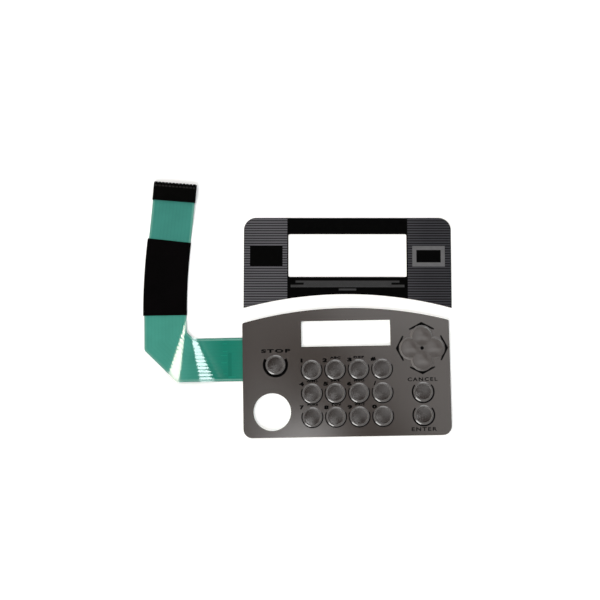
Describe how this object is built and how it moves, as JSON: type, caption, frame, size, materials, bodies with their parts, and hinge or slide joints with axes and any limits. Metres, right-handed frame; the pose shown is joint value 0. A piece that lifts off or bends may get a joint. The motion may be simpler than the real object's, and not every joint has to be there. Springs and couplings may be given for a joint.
{
  "type": "membrane keypad",
  "caption": "Embossed membrane keypad with windows, a flat film tail and crimp connector, and its arched display overlay.",
  "frame": {"origin": "middle of the keypad panel's rear face, the face of its release liner", "axes": "+X to the keypad's right, +Y from the keypad up towards the display overlay, +Z out of the printed face"},
  "size_m": [0.2254, 0.1887, 0.0043],
  "materials": {
    "release_paper": "waxed paper liner",
    "adhesive": "acrylic adhesive",
    "green_film": "polyester film with green dielectric print",
    "clear_film": "clear polyester",
    "dome_steel": "stainless spring steel",
    "keypad_face": "fine textured polyester, warm grey print",
    "display_face": "fine textured polyester, dark grey print",
    "black_ink": "screen printed black ink",
    "black_tape": "black wrap tape",
    "connector_plastic": "moulded black thermoplastic",
    "contact_metal": "tin plated"
  },
  "bodies": {
    "root": {"release_liner": "release_paper", "rear_adhesive": "adhesive", "circuit_film": "green_film", "dome_spacer": "clear_film", "snap_dome_1": "dome_steel", "snap_dome_2": "dome_steel", "snap_dome_3": "dome_steel", "snap_dome_4": "dome_steel", "snap_dome_5": "dome_steel", "snap_dome_6": "dome_steel", "snap_dome_7": "dome_steel", "snap_dome_8": "dome_steel", "snap_dome_9": "dome_steel", "snap_dome_10": "dome_steel", "snap_dome_11": "dome_steel", "snap_dome_12": "dome_steel", "snap_dome_13": "dome_steel", "snap_dome_14": "dome_steel", "snap_dome_15": "dome_steel", "snap_dome_16": "dome_steel", "snap_dome_17": "dome_steel", "snap_dome_18": "dome_steel", "snap_dome_19": "dome_steel", "dome_retainer": "clear_film", "overlay_adhesive": "adhesive", "keypad_overlay": "keypad_face", "keypad_print": "black_ink", "tail_sleeve": "black_tape", "connector_housing": "connector_plastic", "contact_1": "contact_metal", "contact_2": "contact_metal", "contact_3": "contact_metal", "contact_4": "contact_metal", "contact_5": "contact_metal", "contact_6": "contact_metal", "contact_7": "contact_metal", "contact_8": "contact_metal", "contact_9": "contact_metal", "contact_10": "contact_metal", "contact_11": "contact_metal", "contact_12": "contact_metal", "display_liner": "release_paper", "display_adhesive": "adhesive", "display_overlay": "display_face", "display_print": "black_ink"}
  },
  "joints": []
}
